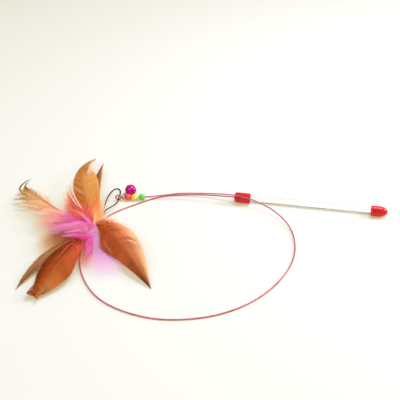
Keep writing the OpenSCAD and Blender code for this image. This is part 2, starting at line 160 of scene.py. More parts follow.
def make_lights():
    add_lamp("key", (160, 300, 900), 600, 6.6, (1.0, 0.985, 0.95))
    add_lamp("low", (520, 220, 340), 260, 3.0, (1.0, 0.98, 0.94))
    add_lamp("fill", (-500, -600, 800), 900, 2.7, (1.0, 1.0, 1.0))


def connect(tree, value, socket):
    """Feeds a socket a constant, or what another node gives."""
    if isinstance(value, bpy.types.NodeSocket):
        tree.links.new(value, socket)
    else:
        socket.default_value = value


def feed(tree, node, *values, **named):
    """Feeds the first sockets of a node, and those named."""
    for socket, value in zip(node.inputs, values):
        connect(tree, value, socket)
    for name, value in named.items():
        connect(tree, value, node.inputs[name.replace("_", " ")])
    return node


def add_node(tree, kind, *values, **named):
    return feed(tree, tree.nodes.new(kind), *values, **named)


def larger(tree, a, b):
    node = add_node(tree, "ShaderNodeMath", a, b)
    node.operation = "MAXIMUM"
    return node.outputs[0]


def mix_shaders(tree, factor, first, second, out):
    both = add_node(tree, "ShaderNodeMixShader", factor, first.outputs[0], second.outputs[0])
    connect(tree, both.outputs[0], out.inputs["Surface"])


def make_world():
    """Even light from a plain sky, which the camera sees as white."""
    world = bpy.data.worlds.new("studio")
    bpy.context.scene.world = world
    world.use_nodes = True
    tree = world.node_tree
    tree.nodes.clear()
    light = add_node(tree, "ShaderNodeBackground", Color=(1, 1, 1, 1), Strength=SKY_LIGHT)
    seen = add_node(tree, "ShaderNodeBackground", Color=rgb(254, 254, 252))
    direct = add_node(tree, "ShaderNodeLightPath").outputs["Is Camera Ray"]
    mix_shaders(tree, direct, light, seen, add_node(tree, "ShaderNodeOutputWorld"))


def make_floor():
    """A white table. What comes from the camera, a mirror or clear plastic meets a surface that
    adds light of its own, so that it stays white, and its shadows are a little warm."""
    half = FLOOR_SIZE / 2 * MM
    z = (FLOOR_Z - FLOOR_DROP) * MM
    corners = [(-half, -half, z), (half, -half, z), (half, half, z), (-half, half, z)]
    mesh = bpy.data.meshes.new("table")
    mesh.from_pydata(corners, [], [(0, 1, 2, 3)])
    mat = bpy.data.materials.new("table")
    mat.use_nodes = True
    tree = mat.node_tree
    tree.nodes.clear()
    matte = add_node(tree, "ShaderNodeBsdfDiffuse", Color=FLOOR_MATTE)
    shaded = add_node(tree, "ShaderNodeBsdfDiffuse", Color=FLOOR_SHADED)
    glow = add_node(tree, "ShaderNodeEmission", Color=FLOOR_GLOW)
    both = add_node(tree, "ShaderNodeAddShader", shaded.outputs[0], glow.outputs[0])
    rays = add_node(tree, "ShaderNodeLightPath").outputs
    direct = rays["Is Camera Ray"]
    for ray in ("Is Glossy Ray", "Is Transmission Ray"):
        direct = larger(tree, direct, rays[ray])
    mix_shaders(tree, direct, matte, both, add_node(tree, "ShaderNodeOutputMaterial"))
    mesh.materials.append(mat)
    add_object("table", mesh)


# Materials


class Surface:
    """A material with one Principled shader, and short calls for the nodes that feed it."""

    def __init__(self, name, roughness, **named):
        self.material = bpy.data.materials.new(name)
        self.material.use_nodes = True
        self.tree = self.material.node_tree
        self.shader = self.tree.nodes["Principled BSDF"]
        self.set(Roughness=roughness, **named)

    def set(self, **named):
        feed(self.tree, self.shader, **named)

    def node(self, kind, *values, **named):
        return add_node(self.tree, kind, *values, **named)

    def noise(self, per_metre, detail=4.0, stretch=(1, 1, 1)):
        place = self.node("ShaderNodeTexCoord").outputs["Object"]
        place = self.node("ShaderNodeMapping", Vector=place, Scale=stretch).outputs[0]
        noise = self.node("ShaderNodeTexNoise", Vector=place, Scale=per_metre, Detail=detail)
        return noise.outputs["Fac"]

    def attribute(self, name):
        node = self.node("ShaderNodeAttribute")
        node.attribute_name = name
        return node.outputs["Fac"]

    def ramp(self, factor, *stops):
        node = self.node("ShaderNodeValToRGB", factor)
        elements = node.color_ramp.elements
        while len(elements) < len(stops):
            elements.new(0.5)
        for element, (position, colour) in zip(elements, stops):
            element.position = position
            element.color = colour
        return node.outputs["Color"]

    def mix(self, factor, a, b, way="MIX"):
        """Mixes two colours, which go into the node's sockets 6 and 7."""
        node = self.node("ShaderNodeMix")
        node.data_type = "RGBA"
        node.blend_type = way
        for index, value in ((0, factor), (6, a), (7, b)):
            connect(self.tree, value, node.inputs[index])
        return node.outputs[2]

    def map(self, value, span, result):
        """Takes a value from one range to another."""
        return self.node("ShaderNodeMapRange", value, *span, *result).outputs["Result"]

    def blend(self, share, other):
        """Gives a share of the surface to another shader."""
        mix_shaders(self.tree, share, self.shader, other, self.tree.nodes["Material Output"])
        return self.material


def grey(value):
    return (value, value, value, 1.0)


def colour_stops(rows):
    """Colour stops, from rows of a place and an sRGB colour."""
    return [(place, rgb(*colour)) for place, *colour in rows]


def finish(name, low, high, roughness, drift, grain, vary=None, **named):
    """A surface that drifts between two sRGB colours. drift is a noise per metre. grain is a noise
    per metre, with the strength and depth of its bumps. vary is a noise per metre, with how far the
    roughness falls and rises."""
    s = Surface(name, roughness, **named)
    ends = colour_stops([(0.38, *low), (0.62, *high)])
    s.set(Base_Color=s.ramp(s.noise(drift), *ends))
    if vary:
        per_metre, falls, rises = vary
        span = (roughness - falls, roughness + rises)
        s.set(Roughness=s.map(s.noise(per_metre), (0.0, 1.0), span))
    per_metre, strength, depth = grain
    bumps = s.node("ShaderNodeBump", Height=s.noise(per_metre), Strength=strength, Distance=depth * MM)
    s.set(Normal=bumps.outputs["Normal"])
    return s.material


def vinyl():
    """Dip-moulded soft vinyl, glossy, with a faint orange peel."""
    return finish(
        "red_cap", (198, 8, 16), (218, 14, 24), 0.25, 240, (800, 0.15, 0.06), (500, 0.05, 0.09),
        Coat_Weight=0.25, Coat_Roughness=0.05, Specular_IOR_Level=0.25,
    )


def clear_plastic():
    """Extruded clear plastic: faint streaks along it, a painted shade line along its underside that stands
    in for its contact shadow where it lies on the table, and edges that bend what is seen through them."""
    s = Surface("clear_tube", 0.0, IOR=1.3, Transmission_Weight=1.0)
    streaks = s.ramp(s.noise(120, 1.0, (0.02, 1, 1)), (0.3, grey(0.97)), (0.7, grey(1.0)))
    place = s.node("ShaderNodeSeparateXYZ", s.node("ShaderNodeTexCoord").outputs["Object"])
    height = s.map(place.outputs["Z"], (-TUBE_R * MM, TUBE_R * MM), (0.0, 1.0))
    # Painted shade: the lowest sliver of the tube is tinted grey-beige, standing in for its contact shadow
    # and shaded lower edge, not a tint of the plastic
    line = s.ramp(height, (0.02, (0.5, 0.46, 0.4, 1)), (0.045, grey(1.0)))
    colour = s.mix(1.0, streaks, line, "MULTIPLY")
    s.set(Base_Color=colour)
    straight = s.map(s.node("ShaderNodeLayerWeight").outputs["Facing"], (0.3, 1.0), (1.0, 0.5))
    rays = s.node("ShaderNodeLightPath").outputs
    for ray in ("Is Shadow Ray", "Is Diffuse Ray"):
        straight = larger(s.tree, straight, rays[ray])
    return s.blend(straight, s.node("ShaderNodeBsdfTransparent", Color=colour))


def coated_wire():
    return finish(
        "pink_wire", (180, 74, 96), (206, 104, 124), 0.4, 70, (2500, 0.2, 0.04),
        Coat_Weight=0.15, Coat_Roughness=0.1,
    )


def painted_metal(name, low, high, roughness):
    return finish(
        name, low, high, roughness, 300, (1600, 0.08, 0.03), (900, 0.06, 0.08),
        Metallic=0.6, Coat_Weight=0.35, Coat_Roughness=0.04,
    )


def bare_metal(name, low, high, roughness):
    return finish(
        name, low, high, roughness, 600, (3000, 0.15, 0.02), (1500, 0.08, 0.12), Metallic=1.0
    )


def bead_plastic(name, low, high):
    return finish(
        name, low, high, 0.22, 180, (700, 0.06, 0.05), Coat_Weight=0.5, Coat_Roughness=0.05,
        Subsurface_Weight=0.2, Subsurface_Radius=(2 * MM, 1 * MM, 1 * MM),
    )


def fibre(name, low, high, roughness=0.7, sheen=0.3):
    return finish(
        name, low, high, roughness, 900, (4000, 0.4, 0.05), Sheen_Weight=sheen, Specular_IOR_Level=0.3
    )


def streaked(s, colour, streak, through):
    """Barbs or strands, each a little lighter or darker than the next, that light shines through."""
    tone = s.ramp(s.attribute("tone"), (0.0, grey(1 - streak)), (1.0, grey(1 + streak)))
    colour = s.mix(1.0, colour, tone, "MULTIPLY")
    s.set(Base_Color=colour, Specular_IOR_Level=0.1)
    return s.blend(through, s.node("ShaderNodeBsdfTranslucent", Color=colour))


def barbs(name, left, right, left_rim, right_rim, streak=0.2, through=0.25):
    """Feather vanes. left and right are colour stops along the shaft, and each rim is a colour, the
    share of it at the vane's edge, and how far from the shaft it starts."""
    s = Surface(name, 0.7)
    along = s.attribute("along")
    across = s.attribute("across")
    sides = s.ramp(across, (0.4, grey(0.0)), (0.6, grey(1.0)))
    colour = s.mix(sides, s.ramp(along, *colour_stops(left)), s.ramp(along, *colour_stops(right)))
    for edge, (*rim, most, start) in ((0.0, left_rim), (1.0, right_rim)):
        inner = 0.5 + (edge - 0.5) * start
        ends = sorted([(edge, grey(most)), (inner, grey(0.0))])
        colour = s.mix(s.ramp(across, *ends), colour, rgb(*rim))
    return streaked(s, colour, streak, through)


def down_barbs(name, *rows, streak=0.15, through=0.45):
    """Loose down, coloured from the root of each strand to its tip."""
    s = Surface(name, 0.8)
    return streaked(s, s.ramp(s.attribute("across"), *colour_stops(rows)), streak, through)


# Curves and meshes


def spline_points(route, steps):
    """A smooth curve through route points, as the CAD model's cords have."""
    pts = [Vector(p) for p in route]
    ends = [2 * pts[0] - pts[1], *pts, 2 * pts[-1] - pts[-2]]
    out = []
    for i in range(len(pts) - 1):
        a, b, c, d = ends[i : i + 4]
        for k in range(steps):
            t = k / steps
            bend = (2 * a - 5 * b + 4 * c - d) * t * t + (3 * b - a - 3 * c + d) * t**3
            out.append(0.5 * (2 * b + (c - a) * t + bend))
    out.append(pts[-1])
    return out


def make_cord(name, route, diameter, mat, body, node):
    pts = spline_points(route, CORD_STEPS)
    data = bpy.data.curves.new(name, "CURVE")
    data.dimensions = "3D"
    data.bevel_depth = diameter / 2 * MM
    data.bevel_resolution = 4
    data.use_fill_caps = True
    line = data.splines.new("POLY")
    line.points.add(len(pts) - 1)
    for point, p in zip(line.points, pts):
        point.co = (*(p * MM), 1.0)
    line.use_smooth = True
    data.materials.append(mat)
    obj = add_object(name, data)
    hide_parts(node)
    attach(obj, body)


def side_and_up(pts, i):
    """Two directions across a row of points at one of them."""
    ahead = (pts[min(i + 1, len(pts) - 1)] - pts[max(i - 1, 0)]).normalized()
    side = ahead.cross(UP if abs(ahead.z) < STEEP else Vector((1, 0, 0))).normalized()
    return side, side.cross(ahead)


def unit(x):
    """A number kept between 0 and 1."""
    return min(1.0, max(0.0, x))


def soft_step(x):
    x = unit(x)
    return x * x * (3 - 2 * x)


def level(profile, x):
    """The value at x between the points of a profile."""
    for (a, low), (b, high) in zip(profile, profile[1:]):
        if (x - a) * (x - b) <= 0:
            return low + (high - low) * (x - a) / (b - a)
    return profile[-1][1]


class Skin:
    """Points and faces of one mesh, with attributes that its materials read."""

    def __init__(self):
        self.points = []
        self.faces = []
        self.slots = []
        self.marks = {"along": [], "across": [], "tone": []}

    def point(self, p, along, across, tone):
        self.points.append(tuple(p * MM))
        for key, value in (("along", along), ("across", across), ("tone", tone)):
            self.marks[key].append(value)

    def face(self, *corners, slot=0):
        self.faces.append(corners)
        self.slots.append(slot)

    def tube(self, pts, radii, sides, slot=0, along=None):
        """A round tube along points, closed at both ends."""
        first = len(self.points)
        last = len(pts) - 1
        for i, p in enumerate(pts):
            side, up = side_and_up(pts, i)
            t = along[i] if along else i / last
            for k in range(sides):
                a = 2 * math.pi * k / sides
                self.point(p + radii[i] * (math.cos(a) * side + math.sin(a) * up), t, 0.5, 0.5)
        for i in range(last):
            for k in range(sides):
                a = first + i * sides + k
                b = first + i * sides + (k + 1) % sides
                self.face(a, b, b + sides, a + sides, slot=slot)
        self.face(*range(first + sides - 1, first - 1, -1), slot=slot)
        self.face(*range(first + last * sides, first + (last + 1) * sides), slot=slot)

    def ribbon(self, pts, wide, tone, slot=0, along=None, across=None):
        """A thin flat barb. wide holds the half width at each point, as a vector."""
        first = len(self.points)
        last = len(pts) - 1
        for i, (p, w) in enumerate(zip(pts, wide)):
            t = along[i] if along else 0.0
            v = across[i] if across else i / last
            self.point(p - w, t, v, tone)
            self.point(p + w, t, v, tone)
        for i in range(last):
            a = first + 2 * i
            self.face(a, a + 2, a + 3, a + 1, slot=slot)

    def build(self, name, mats, slot_name, *nodes):
        mesh = bpy.data.meshes.new(name)
        mesh.from_pydata(self.points, [], self.faces)
        for mat in mats:
            mesh.materials.append(mat)
        mesh.polygons.foreach_set("use_smooth", [True] * len(mesh.polygons))
        mesh.polygons.foreach_set("material_index", self.slots)
        for key, values in self.marks.items():
            mesh.attributes.new(key, "FLOAT", "POINT").data.foreach_set("value", values)
        obj = add_object(name, mesh)
        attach(obj, "lure")
        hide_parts(*nodes)


# Knot and binding


def wind(skin, start, axis, length, radius_at, thread_d, pitch):
    """Thread wound round an axis, one turn a pitch, over a core that radius_at gives."""
    axis = axis.normalized()
    side = axis.cross(UP).normalized()
    up = side.cross(axis)
    count = int(length / pitch * STEPS_A_TURN)
    pts = []
    for i in range(count + 1):
        z = length * i / count
        a = 2 * math.pi * i / STEPS_A_TURN
        r = max(thread_d * 0.3, radius_at(z) - thread_d / 2)
        pts.append(start + axis * z + r * (math.cos(a) * side + math.sin(a) * up))
    skin.tube(pts, [thread_d / 2] * len(pts), THREAD_SIDES)
    heights = [length * i / CORE_RINGS for i in range(CORE_RINGS + 1)]
    radii = [max(0.1, radius_at(z) - thread_d * 0.6) for z in heights]
    skin.tube([start + axis * z for z in heights], radii, CORE_SIDES)


def binding_radius(z):
    """A straight neck, then a round head."""
    along = (HEAD - NECK_AT).length
    round_r = math.sqrt(max(0.0, HEAD_R**2 - (z - along) ** 2))
    return max(round_r, NECK_R if z < along else 0.0)


def make_knot(mat):
    skin = Skin()
    wind(skin, KNOT_AT, Vector((0, -1, 0)), KNOT_LEN, lambda z: KNOT_R, CORD_LAY_D, CORD_LAY_PITCH)
    skin.build("pulled_knot", [mat], "black_elastic", "elastic_knot")


def make_binding(mat):
    skin = Skin()
    length = (HEAD - NECK_AT).length + HEAD_R * 0.97
    wind(skin, NECK_AT, HEAD - NECK_AT, length, binding_radius, THREAD_D, THREAD_D * 0.95)
    skin.build("wound_thread", [mat], "thread", "binding")


# Feathers


def heading(turn, climb):
    """A direction, from two angles in degrees."""
    turn = math.radians(turn)
    climb = math.radians(climb)
    return Vector((math.cos(climb) * math.cos(turn), math.cos(climb) * math.sin(turn), math.sin(climb)))


class Shaft:
    """A feather's shaft: a cubic curve from the bound head, which may end in a hook."""

    def __init__(self, length, path, root, hook=None):
        p = [HEAD + (HEAD_R + ROOT_GAP) * heading(*root), *(HEAD + length * Vector(s) for s in path)]
        self.curve = p
        self.hook = hook
        self.places = [self.exact(i / SHAFT_STEPS) for i in range(SHAFT_STEPS + 1)]
        self.aheads = []
        for i in range(SHAFT_STEPS + 1):
            a = self.places[max(0, i - 1)]
            b = self.places[min(SHAFT_STEPS, i + 1)]
            self.aheads.append((b - a).normalized())

    def exact(self, t):
        p = self.curve
        hook_at, turn, rise = self.hook or (1.0, 1.0, 0.0)
        if t <= hook_at:
            t /= hook_at
            s = 1 - t
            return p[0] * s**3 + 3 * p[1] * t * s**2 + 3 * p[2] * t * t * s + p[3] * t**3
        k = (t - hook_at) / (1 - hook_at)
        start = math.atan2(p[3].y - p[2].y, p[3].x - p[2].x)
        to = start + math.radians(turn) * k
        r = math.copysign(HOOK_R, turn)
        x = r * (math.sin(to) - math.sin(start))
        y = r * (math.cos(start) - math.cos(to))
        return p[3] + Vector((x, y, rise * k * k))

    def at(self, t):
        """Place, direction, flat side and up at a share of the length."""
        x = unit(t) * SHAFT_STEPS
        i = min(int(x), SHAFT_STEPS - 1)
        f = x - i
        place = self.places[i].lerp(self.places[i + 1], f)
        ahead = self.aheads[i].lerp(self.aheads[i + 1], f).normalized()
        side = ahead.cross(UP).normalized()
        return place, ahead, side, side.cross(ahead)


class Vane:
    """The surface that a feather's barbs lie in, as the CAD model has it."""

    def __init__(self, spec):
        self.spec = spec
        self.shaft = Shaft(spec["length"], spec["path"], spec["root"], spec.get("hook"))

    def width_share(self, t):
        """How wide the vane is at a share of the length, with 1 where it is widest."""
        s = self.spec
        x = (t - s["bare"]) / (1 - s["bare"])
        if x <= 0 or x >= 1:
            return 0.0
        if x < s["peak"]:
            return math.sin(math.pi / 2 * x / s["peak"]) ** s["rise"]
        return math.cos(math.pi / 2 * (x - s["peak"]) / (1 - s["peak"])) ** s["fall"]

    def place(self, t, v, lift=0.0):
        """A point at a share v of the half vane, -1 at its left edge and 1 at its right."""
        s = self.spec
        share = self.width_share(t)
        half = s["widths"][0 if v < 0 else 1] * s["length"] * share
        at = min(1.0, t + s["sweep"] * abs(v) * share * (1 - t))
        place, ahead, flat_side, flat_up = self.shaft.at(at)
        roll = math.radians(s["roll"][0] + (s["roll"][1] - s["roll"][0]) * at)
        side = math.cos(roll) * flat_side + math.sin(roll) * flat_up
        up = math.cos(roll) * flat_up - math.sin(roll) * flat_side
        p = place + side * v * half - up * (s["camber"] * half * v * v - lift)
        p.z = max(p.z, FLOOR_Z + BARBS_ABOVE)
        return p, ahead, up


FULL = [(0, 1), (1, 1)]


def make_vane(name, spec, mats, slot_name):
    """Shaft and barbs. The barbs lie close together in locks, which part towards the edge, over a
    layer of shorter ones that closes the gaps."""
    rng = random.Random(spec["seed"])
    vane = Vane(spec)
    skin = Skin()
    bare = spec["bare"]
    count = int(spec["length"] * (1 - bare) / BARB_SPACING)
    half_wide = OVERLAP * spec["length"] * (1 - bare) / count

    def barb(side, t_root, reach, lift, tone, lean, off=0.0, part=0.0, part_from=0.5):
        pts, wide, along, across = [], [], [], []
        for k in range(BARB_POINTS):
            f = k / (BARB_POINTS - 1)
            v = side * reach * (0.015 + 0.985 * f)
            opened = soft_step((f - part_from) / (1 - part_from))
            t = min(0.998, max(bare + 0.002, t_root + lean * f**1.4 + off * opened))
            p, ahead, up = vane.place(t, v, lift * f * f)
            pts.append(p)
            narrow = 1 - 0.6 * f**4 - part * 0.7 * opened
            wide.append((ahead + up * rng.choice((-0.25, 0.25))) * half_wide * max(0.25, narrow))
            along.append(t)
            across.append(0.5 + v / 2)
        skin.ribbon(pts, wide, tone, along=along, across=across)

    for side in (-1, 1):
        locks = spec["locks"][0 if side < 0 else 1]
        fullness = spec.get("fullness", (FULL, FULL))[0 if side < 0 else 1]
        i = 0
        while i < count:
            lock = max(3, int(rng.uniform(*locks["size"]) / BARB_SPACING))
            part = rng.uniform(*locks["part"])
            part_from = rng.uniform(*locks["part_from"])
            lock_reach = 1 + rng.uniform(*locks["reach"])
            lock_tone = rng.uniform(-0.3, 0.3)
            lock_lift = rng.uniform(0.0, locks["lift"])
            middle = i + lock / 2
            for j in range(i, min(i + lock, count)):
                t_root = bare + (j + 0.5) / count * (1 - bare)
                if vane.width_share(t_root) <= 0.01:
                    continue
                lean = locks["lean"] * soft_step((t_root - bare) / 0.25) * (1 - t_root)
                off = (middle - j) / count * (1 - bare) * part
                inside = 1 - (abs(middle - j) / (lock / 2)) ** 2
                pointed = 1 - locks["point"] * (1 - inside)
                reach = lock_reach * pointed * (1 - rng.uniform(0, locks["rag"]))
                reach *= level(fullness, t_root)
                lift = lock_lift + rng.uniform(0.0, 0.15)
                tone = unit(0.5 + lock_tone + rng.uniform(-0.2, 0.2))
                barb(side, t_root, reach, lift, tone, lean, off, part, part_from)
                if locks["ground"] > 0:
                    ground = locks["ground"] * level(fullness, t_root)
                    barb(side, t_root, ground, GROUND_LIFT, GROUND_TONE, lean)
            i += lock
    ts = [i / QUILL_STEPS for i in range(QUILL_STEPS + 1)]
    radii = [QUILL_R * (1 - (1 - QUILL_TIP_SHARE) * t) * min(1.0, 0.25 + (1 - t) / 0.04) for t in ts]
    skin.tube([vane.shaft.at(t)[0] for t in ts], radii, QUILL_SIDES, slot=1, along=ts)
    add_strays(skin, vane, rng, spec)
    for ruff in spec.get("ruffs", ()):
        add_ruff(skin, vane, rng, **ruff)
    for bundle in spec.get("wisps", ()):
        add_wisp(skin, rng, *bundle)
    skin.build(name, mats, slot_name, spec["node"])


def add_strays(skin, vane, rng, spec):
    """Pale single barbs that curl away from the vane."""
    for side, t_from, t_to, count, reach, start in spec.get("strays", ()):
        for _ in range(count):
            t0 = rng.uniform(t_from, t_to)
            out = reach * rng.uniform(0.75, 1.15)
            curl = rng.uniform(-0.5, 1.2)
            up_by = rng.uniform(0.4, 1.6)
            pts = []
            for k in range(BARB_POINTS):
                f = k / (BARB_POINTS - 1)
                lift = up_by * math.sin(math.pi * f * 0.8)
                v = side * out * (start + (1 - start) * f)
                p, ahead, _ = vane.place(min(0.99, t0 + 0.09 * f * f), v, lift)
                pts.append(p + ahead * curl * 2.5 * f * f)
            add_strand(skin, pts, STRAY_D / 2, rng.uniform(-0.6, 0.6), rng.random(), 2)


def add_ruff(skin, vane, rng, line, start, stop, count, bulge, side):
    """Barbs from the shaft between two shares of it, to tips on a given line."""
    line = spline_points(line, RUFF_STEPS)
    for i in range(count):
        share = (i + 0.5) / count
        t = start + (stop - start) * share
        root = vane.shaft.at(t)[0]
        at = share * (len(line) - 1)
        tip = line[int(at)].lerp(line[min(int(at) + 1, len(line) - 1)], at - int(at))
        tip = root.lerp(tip, rng.uniform(0.92, 1.02))
        rise = rng.uniform(*bulge)
        shares = [k / (BARB_POINTS - 1) for k in range(BARB_POINTS)]
        pts = [root.lerp(tip, f) + UP * rise * math.sin(math.pi * f**0.8) for f in shares]
        across = [0.5 + side * 0.45 * f for f in shares]
        twist = rng.uniform(-0.2, 0.2)
        add_strand(skin, pts, RUFF_D / 2, twist, 0.5 + rng.uniform(-0.2, 0.2), 0, across, t)


def add_strand(skin, pts, half_wide, twist, tone, slot, across=None, along=0.0):
    """One fine flat strand along points, which narrows to its tip."""
    last = len(pts) - 1
    wide = []
    for k in range(last + 1):
        side, up = side_and_up(pts, k)
        narrow = 1 - 0.75 * (k / last) ** 2
        wide.append((side * math.cos(twist) + up * math.sin(twist)) * half_wide * narrow)
    skin.ribbon(pts, wide, tone, slot=slot, along=[along] * (last + 1), across=across)


def wisp(strands, spread, width, *points, slot=2, tone=0.5):
    """A bundle of strands, as add_wisp takes it."""
    return strands, spread, width, points, slot, tone


def add_wisp(skin, rng, strands, spread, width, points, slot, tone):
    """A bundle of strands along given points, which opens out and closes again at its tip."""
    line = spline_points(points, WISP_STEPS)
    last = len(line) - 1
    for _ in range(strands):
        off = Vector((rng.uniform(-1, 1), rng.uniform(-1, 1), rng.uniform(-0.6, 0.6))) * spread
        end = last - rng.randint(0, max(1, last // 5))
        pts = []
        for k in range(end + 1):
            p = line[k] + off * (0.35 + 0.65 * math.sin(math.pi * min(1.0, 0.15 + 0.85 * k / end)))
            p.z = max(p.z, FLOOR_Z + STRANDS_ABOVE)
            pts.append(p)
        shade = unit(tone + rng.uniform(-0.25, 0.25))
        add_strand(skin, pts, width / 2, rng.uniform(-0.5, 0.5), shade, slot)


# Down


def add_fan(
    skin, seed, locks, reach, tip_z, root, climb,
    strands=5, share=(0.55, 1.05), arch=(1, 4), bend=(-0.08, 0.08), loose=3.0, width=0.24, slot=0,
):
    """Loose strands in small locks that spring from the bound head. reach gives how far they get at
    each turn, in degrees. root and climb are where they start on the head."""
    rng = random.Random(seed)
    for _ in range(locks):
        turn = rng.uniform(reach[0][0], reach[-1][0])
        far = level(reach, turn) * rng.uniform(*share)
        end_z = rng.uniform(*tip_z)
        rise = rng.uniform(*arch)
        bow = rng.uniform(*bend)
        lock_tone = rng.random()
        for _ in range(strands):
            own = math.radians(turn + rng.gauss(0, loose))
            out = Vector((math.cos(own), math.sin(own), 0))
            side = Vector((-out.y, out.x, 0))
            root_turn = rng.uniform(*root)
            start = HEAD + COVER_R * heading(root_turn, rng.uniform(*climb))
            end = Vector((HEAD.x, HEAD.y, end_z)) + out * far * rng.uniform(0.82, 1.0)
            ripple = rng.uniform(0.0, 0.025)
            phase = rng.uniform(0, 2 * math.pi)
            lift = rise * rng.uniform(0.7, 1.1)
            pts = []
            for k in range(STRAND_POINTS):
                f = k / (STRAND_POINTS - 1)
                p = start.lerp(end, f) + UP * lift * math.sin(math.pi * f)
                p += side * far * (bow * math.sin(math.pi * f) + ripple * math.sin(phase + 6 * f) * f)
                p.z = max(p.z, FLOOR_Z + STRANDS_ABOVE)
                pts.append(p)
            tone = unit(lock_tone + rng.uniform(-0.2, 0.2))
            half = width / 2 * rng.uniform(0.7, 1.2)
            add_strand(skin, pts, half, rng.uniform(-0.5, 0.5), tone, slot)


def make_down(node, fans, mats, slot_name, wisps):
    """One tuft of down: its fans, then its wisps, with the number of fans as their seed."""
    skin = Skin()
    for spec in fans:
        add_fan(skin, **spec)
    rng = random.Random(len(fans))
    for bundle in wisps:
        add_wisp(skin, rng, *bundle)
    skin.build(node + "_strands", mats, slot_name, node)


# What each feather is: its shaft and outline as in the CAD model, then how its barbs lie. A lock is
# a group of barbs that cling together: its size in millimetres, how far it parts from the next,
# where the parting starts, how its reach varies, how pointed and ragged it is, how far it lifts,
# how far the barbs lean towards the tip, and how far the layer below them reaches. Strays are side,
# from, to, count, reach and start, and fullness is profiles of the reach, left and right.
TIDY = dict(
    size=(3, 9), part=(0, 0.06), part_from=(0.6, 0.85), reach=(-0.02, 0.02), point=0.02, rag=0.03, lift=0.2,
    lean=0.12, ground=0.95,
)
SOFT = dict(
    size=(2, 6), part=(0.05, 0.3), part_from=(0.3, 0.7), reach=(-0.1, 0.04), point=0.08, rag=0.1, lift=0.5,
    lean=0.13, ground=0.6,
)
FINGERS = dict(
    size=(7, 12), part=(0.75, 0.9), part_from=(0.15, 0.35), reach=(-0.12, 0.12), point=0.2, rag=0.12,
    lift=1.2, lean=0.2, ground=0,
)

# Ruffs of barbs from the shaft to a line, and bundles of loose strands, for each feather
FRONT_RUFFS = [
    dict(
        line=[
            (-256, -139, 0.4), (-257, -143, 0.2), (-258.5, -148, 0), (-258, -151.5, 0), (-254, -153, 0),
            (-251, -151, -0.2),
        ],
        start=0.86, stop=0.97, count=80, bulge=(0.2, 0.6), side=1,
    ),
    dict(
        line=[(-245, -146, 0.4), (-247, -151, 0), (-248.5, -156, -0.3), (-250.5, -153, -0.2)], start=0.88,
        stop=0.97, count=60, bulge=(0.2, 0.6), side=-1,
    ),
]
FRONT_WISPS = [
    wisp(
        5, 0.3, 0.22, (-229.2, -98.6, 9.5), (-230.5, -104.5, 10), (-231.7, -111, 10), (-232.7, -116.7, 9.5),
    ),
    wisp(
        5, 0.3, 0.22, (-226.6, -100.7, 8.5), (-226, -107.5, 9), (-226.5, -113.8, 9), (-229.2, -116.7, 8.5),
    ),
    wisp(
        5, 0.4, 0.22, (-236.2, -92, 10), (-240.4, -96.7, 10.5), (-245.1, -102.6, 10), (-249.4, -109.1, 9.5),
    ),
    wisp(
        5, 0.4, 0.22, (-232.9, -97.3, 10), (-236.7, -100.5, 10.5), (-240.7, -103.1, 10.5),
        (-244.8, -105.8, 10),
    ),
    wisp(
        5, 0.4, 0.22, (-239.6, -101.7, 10.5), (-241.8, -107.1, 10.5), (-243.1, -114.2, 10),
        (-243.1, -122.7, 9),
    ),
    wisp(
        6, 0.8, 0.2, (-237.3, -96.1, 10.5), (-240.3, -104.3, 10.5), (-242.4, -112.9, 10),
        (-245.1, -121.3, 9.5),
    ),
]
LEFT_WISPS = [
    wisp(
        14, 0.4, 0.32, (-269.7, -64.2, 8.5), (-276.9, -63.8, 8.5), (-285.3, -62.7, 8), (-294, -61.3, 7),
        slot=4,
    ),
    wisp(
        12, 0.35, 0.3, (-279.7, -56.5, 8), (-287.7, -54.3, 7.5), (-294.7, -52.6, 7), (-302.6, -50.2, 6),
        slot=4,
    ),
    wisp(8, 0.5, 0.24, (-280, -55, 6), (-288, -53, 6), (-296, -51.5, 5.5), (-303, -51, 5)),
    wisp(
        44, 0.6, 0.4, (-301, -37, 6), (-307, -34, 6), (-311, -28.5, 6), (-311, -23.5, 6.5),
        (-308.5, -17, 7), (-305.5, -13.5, 7.5), slot=3,
    ),
    wisp(8, 0.45, 0.24, (-297, -41, 6.5), (-303, -38, 6.5), (-308, -36, 6), (-312, -35, 5.5), slot=3),
    wisp(5, 0.3, 0.22, (-297, -45, 6), (-303, -41.5, 6), (-308, -39.5, 5.5), slot=3),
]
RIGHT_RUFFS = [
    dict(
        line=[
            (-230.5, -74, 3), (-232.3, -68, 4.8), (-231.5, -62, 4.4), (-229, -57, 4), (-224, -54, 4),
            (-215, -54.5, 4),
        ],
        start=0.02, stop=0.17, count=190, bulge=(1.2, 2), side=-1,
    ),
    dict(
        line=[(-231, -73, 3), (-229, -76.5, 2.5), (-225.5, -80.5, 2.2), (-221, -84, 2)], start=0.02,
        stop=0.12, count=90, bulge=(1, 1.8), side=1,
    ),
]
